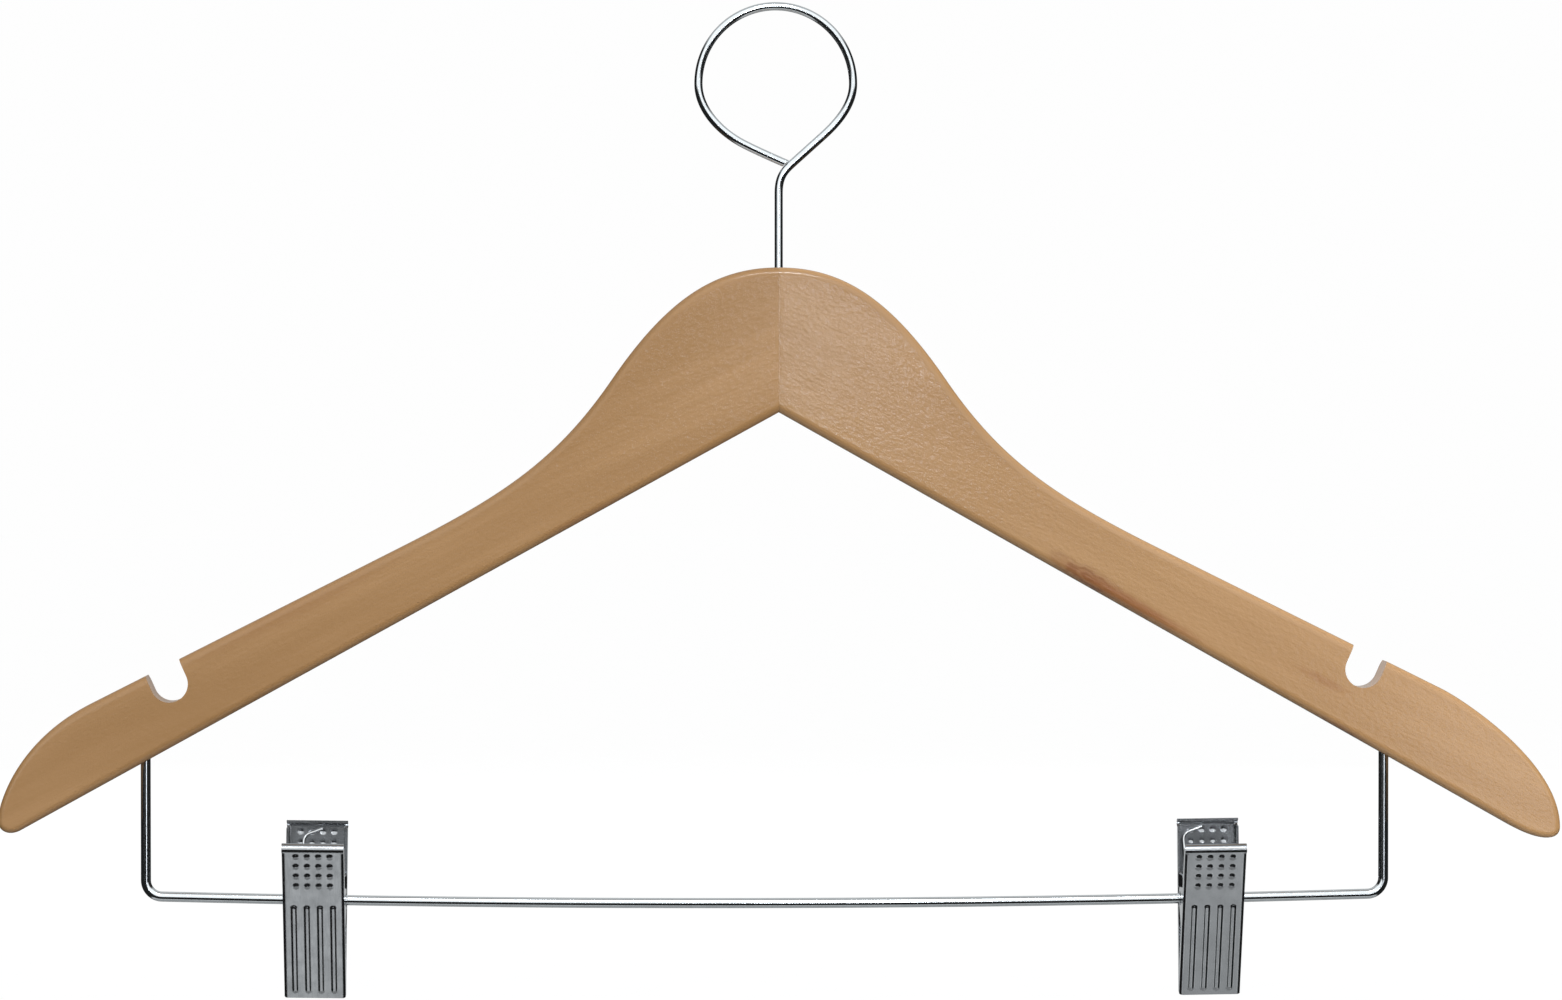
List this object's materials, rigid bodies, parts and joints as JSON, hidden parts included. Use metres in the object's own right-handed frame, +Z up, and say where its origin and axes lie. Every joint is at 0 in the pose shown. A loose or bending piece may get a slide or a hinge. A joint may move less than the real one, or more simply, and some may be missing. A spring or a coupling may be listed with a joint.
{
  "type": "clothes hanger",
  "caption": "Flat lacquered wooden hanger with a closed swivelling wire ring, strap notches, a wire trouser bar and sliding sprung metal clips.",
  "frame": {"origin": "the point inside the top of the ring that rests on the rail", "axes": "+X to the right along the hanger, +Y away from its front face, +Z up"},
  "size_m": [0.432, 0.0259, 0.2761],
  "materials": {
    "lacquered_wood": "clear satin lacquer over pale hardwood",
    "chrome_wire": "bright chrome plate on round steel wire",
    "nickel_steel": "satin nickel plate on pressed steel sheet",
    "spring_steel": "bright plated spring wire",
    "grip_pad": "smooth soft vinyl"
  },
  "bodies": {
    "hook": {"hook_ring": "chrome_wire"},
    "frame": {"arm_left": "lacquered_wood", "arm_right": "lacquered_wood", "trouser_bar": "chrome_wire"},
    "left_spring": {"left_clip_torsion_spring": "spring_steel"},
    "left_back_jaw": {"left_clip_back_jaw": "nickel_steel", "left_clip_back_pad": "grip_pad"},
    "left_front_jaw": {"left_clip_front_jaw": "nickel_steel", "left_clip_front_pad": "grip_pad"},
    "right_spring": {"right_clip_torsion_spring": "spring_steel"},
    "right_back_jaw": {"right_clip_back_jaw": "nickel_steel", "right_clip_back_pad": "grip_pad"},
    "right_front_jaw": {"right_clip_front_jaw": "nickel_steel", "right_clip_front_pad": "grip_pad"}
  },
  "joints": [
    {"name": "hook_swivel", "type": "hinge", "parent": "hook", "child": "frame", "pos_m": [0, 0, -0.0711], "axis": [0, 0, 1], "continuous": true},
    {"name": "left_clip_slide", "type": "slide", "parent": "frame", "child": "left_spring", "axis": [0.9999, 0, -0.0133], "range_m": [-0.0327, 0.1143]},
    {"name": "left_clip_swing", "type": "hinge", "parent": "left_spring", "child": "left_back_jaw", "pos_m": [-0.1283, 0, -0.24597], "axis": [0.9999, 0, -0.0133], "continuous": true},
    {"name": "left_clip_open", "type": "hinge", "parent": "left_back_jaw", "child": "left_front_jaw", "pos_m": [-0.1283, 0, -0.24597], "axis": [-0.9999, 0, 0.0133], "range_deg": [0, 32], "stiffness_Nm_per_rad": 0.08, "springref_deg": -57.3, "deforming": ["left_clip_torsion_spring"]},
    {"name": "right_clip_slide", "type": "slide", "parent": "frame", "child": "right_spring", "axis": [-0.9999, 0, -0.0138], "range_m": [-0.0341, 0.1061]},
    {"name": "right_clip_swing", "type": "hinge", "parent": "right_spring", "child": "right_back_jaw", "pos_m": [0.1201, 0, -0.246], "axis": [0.9999, 0, 0.0138], "continuous": true},
    {"name": "right_clip_open", "type": "hinge", "parent": "right_back_jaw", "child": "right_front_jaw", "pos_m": [0.1201, 0, -0.246], "axis": [-0.9999, 0, -0.0138], "range_deg": [0, 32], "stiffness_Nm_per_rad": 0.08, "springref_deg": -57.3, "deforming": ["right_clip_torsion_spring"]}
  ]
}
